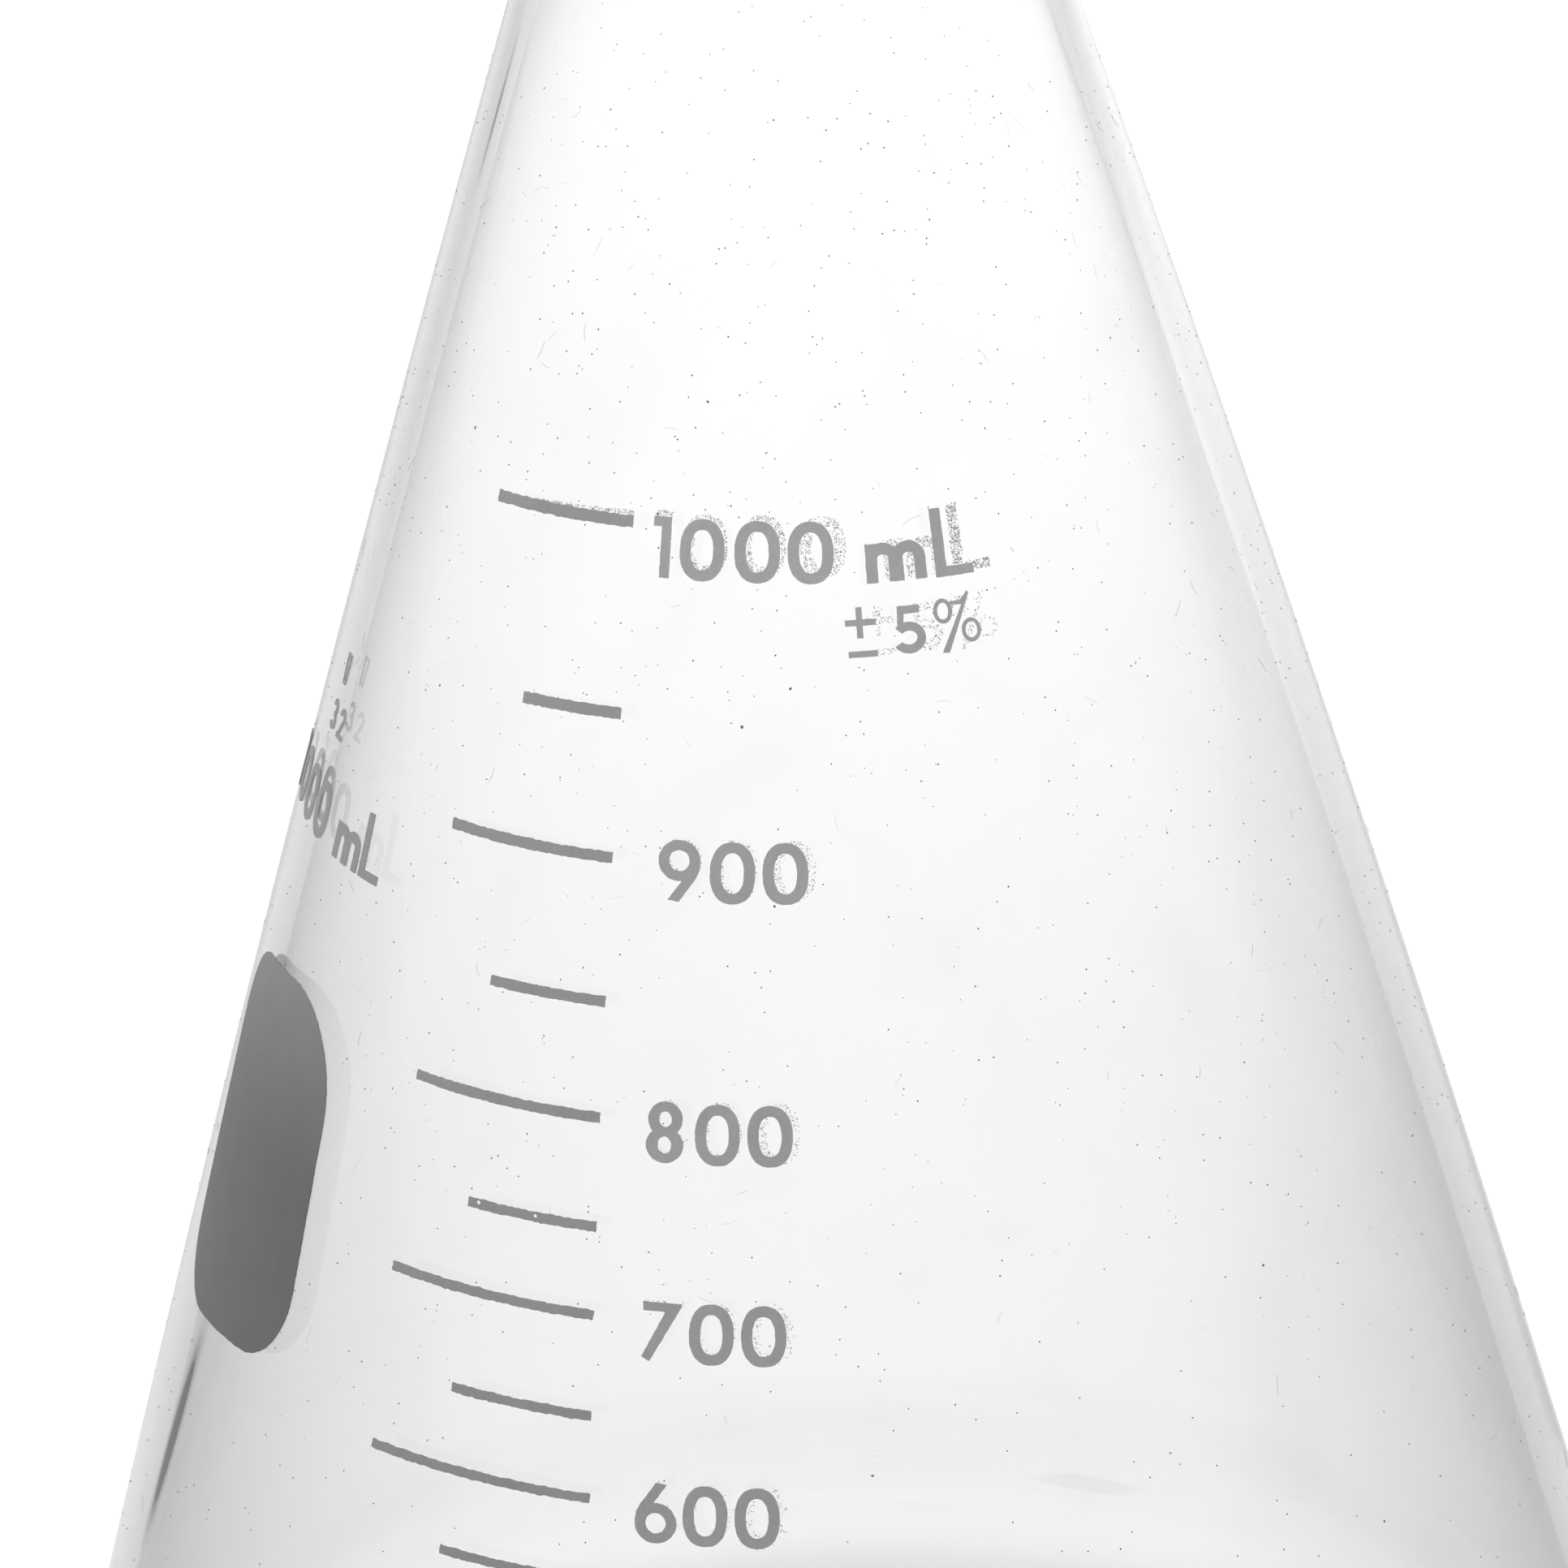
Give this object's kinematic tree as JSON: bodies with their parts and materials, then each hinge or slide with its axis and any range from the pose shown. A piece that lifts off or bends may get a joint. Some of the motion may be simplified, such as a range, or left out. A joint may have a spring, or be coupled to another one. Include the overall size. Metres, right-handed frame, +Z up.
{
  "type": "conical flask",
  "caption": "Conical glass flask with a ground taper neck, a hexagonal-headed ground glass stopper and a printed volume scale.",
  "frame": {"origin": "centre of the ring that the flask stands on, in the plane of the table", "axes": "+Z up along the flask's axis to the stopper; -Y is the front, with the scale a little to the left of it (towards -X)"},
  "size_m": [0.1316, 0.1316, 0.238],
  "materials": {
    "clear_glass": "clear, fire-polished",
    "stopper_glass": "clear head, ground plug",
    "enamel": "fired grey enamel, satin"
  },
  "bodies": {
    "flask": {"flask_body": "clear_glass", "marking_spot": "enamel", "mark_1000": "enamel", "mark_950": "enamel", "mark_900": "enamel", "mark_850": "enamel", "mark_800": "enamel", "mark_750": "enamel", "mark_700": "enamel", "mark_650": "enamel", "mark_600": "enamel", "mark_550": "enamel", "mark_500": "enamel", "mark_450": "enamel", "mark_400": "enamel", "mark_350": "enamel", "mark_300": "enamel"},
    "stopper": {"stopper": "stopper_glass"}
  },
  "joints": [
    {"name": "stopper_lift", "type": "slide", "parent": "flask", "child": "stopper", "axis": [0, 0, 1], "range_m": [0, 0.06]}
  ]
}
